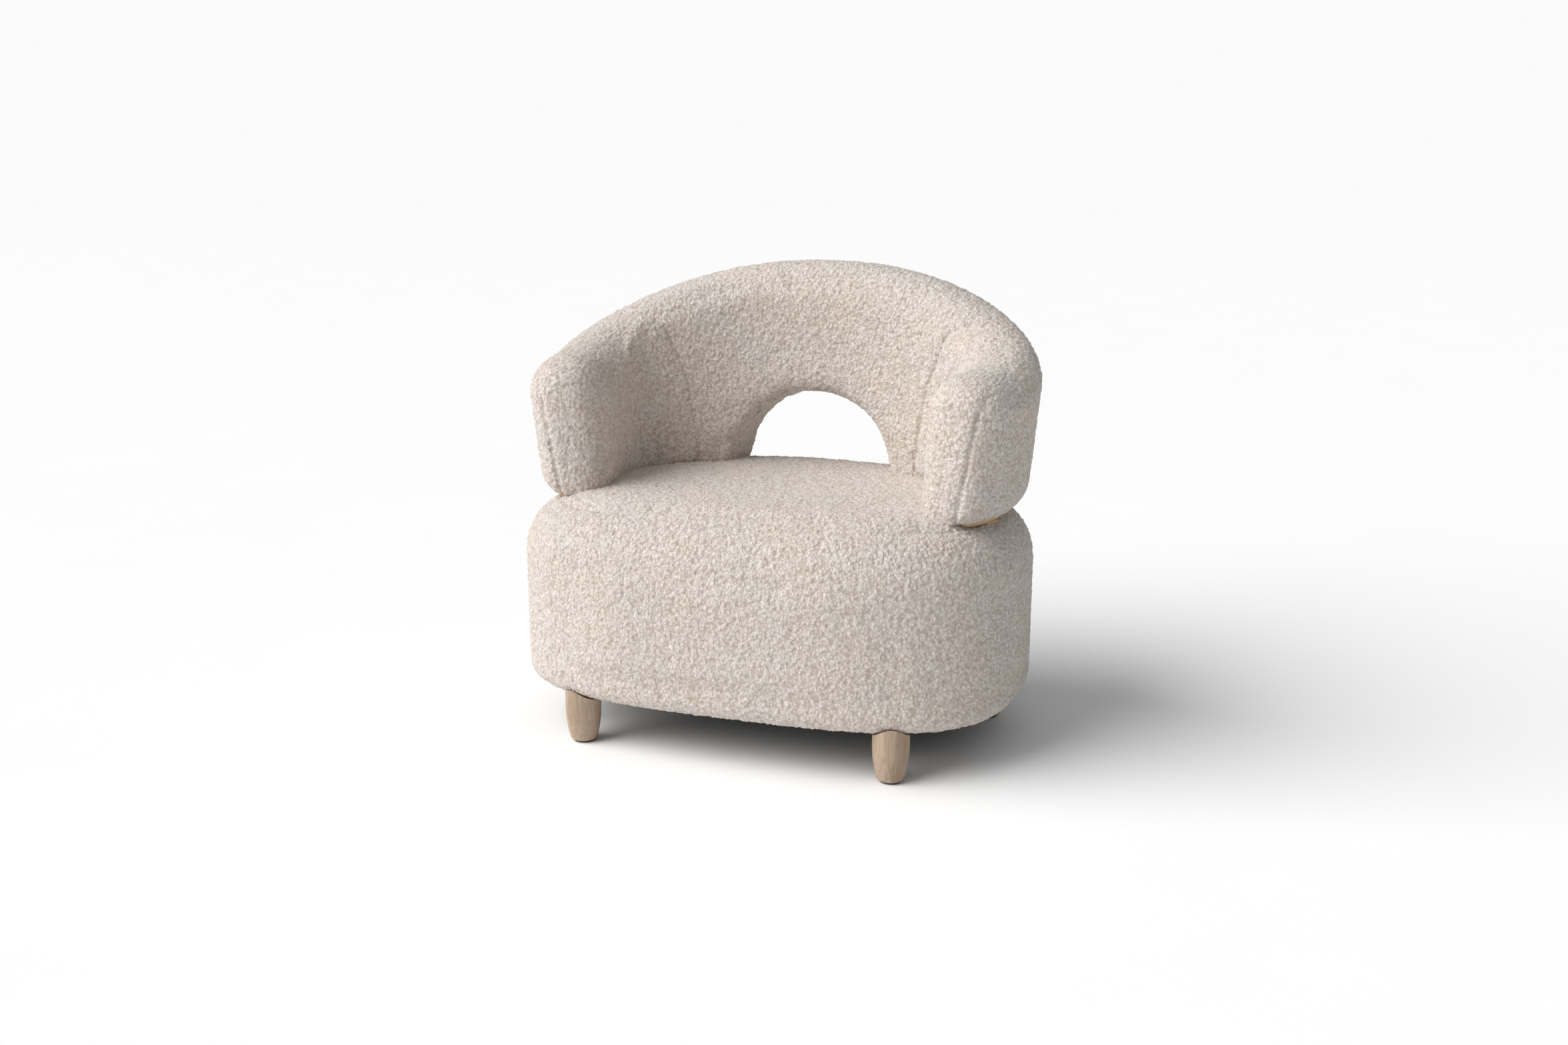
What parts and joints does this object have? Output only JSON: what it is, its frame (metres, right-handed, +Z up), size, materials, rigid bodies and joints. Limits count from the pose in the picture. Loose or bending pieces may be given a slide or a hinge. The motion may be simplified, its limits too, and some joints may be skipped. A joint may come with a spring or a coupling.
{
  "type": "upholstered tub armchair",
  "caption": "Upholstered tub armchair with a rounded D-shaped seat pod, a one-piece horseshoe back and arms with an archway, and short turned legs.",
  "frame": {"origin": "on the floor, under the middle of the seat pod", "axes": "+Z up, front of the seat towards -Y, the sitter's left arm at +X"},
  "size_m": [0.841, 0.6005, 0.756],
  "materials": {
    "boucle_fabric": "looped pile, matt",
    "limed_oak": "limed oak, matt",
    "plywood": "raw plywood",
    "seat_foam_block": "open-cell foam",
    "polyester_wrap": "polyester wadding",
    "zinc_steel": "zinc plated",
    "nylon": "moulded nylon",
    "hardboard": "bent hardboard",
    "felt": "needled felt",
    "dust_cloth": "non-woven cloth"
  },
  "bodies": {
    "root": {"arch_hoop": "plywood", "arch_lining": "boucle_fabric", "arm_cover_left": "boucle_fabric", "arm_cover_right": "boucle_fabric", "arm_foam_left": "seat_foam_block", "arm_foam_right": "seat_foam_block", "arm_post_left": "plywood", "arm_post_right": "plywood", "back_bolts": "zinc_steel", "back_bottom_rail_left": "plywood", "back_bottom_rail_right": "plywood", "back_inner_cover": "boucle_fabric", "back_inner_foam": "seat_foam_block", "back_outer_cover": "boucle_fabric", "back_outer_foam": "seat_foam_block", "back_post_left": "plywood", "back_post_right": "plywood", "back_risers": "plywood", "back_tee_nuts": "zinc_steel", "back_top_rail": "plywood", "back_washers": "zinc_steel", "base_bottom_ring": "plywood", "base_posts": "plywood", "base_side_foam": "seat_foam_block", "base_skin": "hardboard", "base_top_ring": "plywood", "centre_strut": "plywood", "dust_cover": "dust_cloth", "glide_front_left": "nylon", "glide_front_right": "nylon", "glide_rear_left": "nylon", "glide_rear_right": "nylon", "inner_board": "hardboard", "leg_block_front_left": "plywood", "leg_block_front_right": "plywood", "leg_block_rear_left": "plywood", "leg_block_rear_right": "plywood", "leg_front_left": "limed_oak", "leg_front_right": "limed_oak", "leg_rear_left": "limed_oak", "leg_rear_right": "limed_oak", "leg_screws": "zinc_steel", "leg_tee_nuts": "zinc_steel", "outer_board": "hardboard", "seat_band_cover": "boucle_fabric", "seat_foam": "seat_foam_block", "seat_spring_1": "zinc_steel", "seat_spring_2": "zinc_steel", "seat_spring_3": "zinc_steel", "seat_spring_4": "zinc_steel", "seat_spring_5": "zinc_steel", "seat_top_cover": "boucle_fabric", "seat_topper": "polyester_wrap", "side_post_left": "plywood", "side_post_right": "plywood", "spring_clips": "zinc_steel", "spring_pad": "felt"}
  },
  "joints": []
}
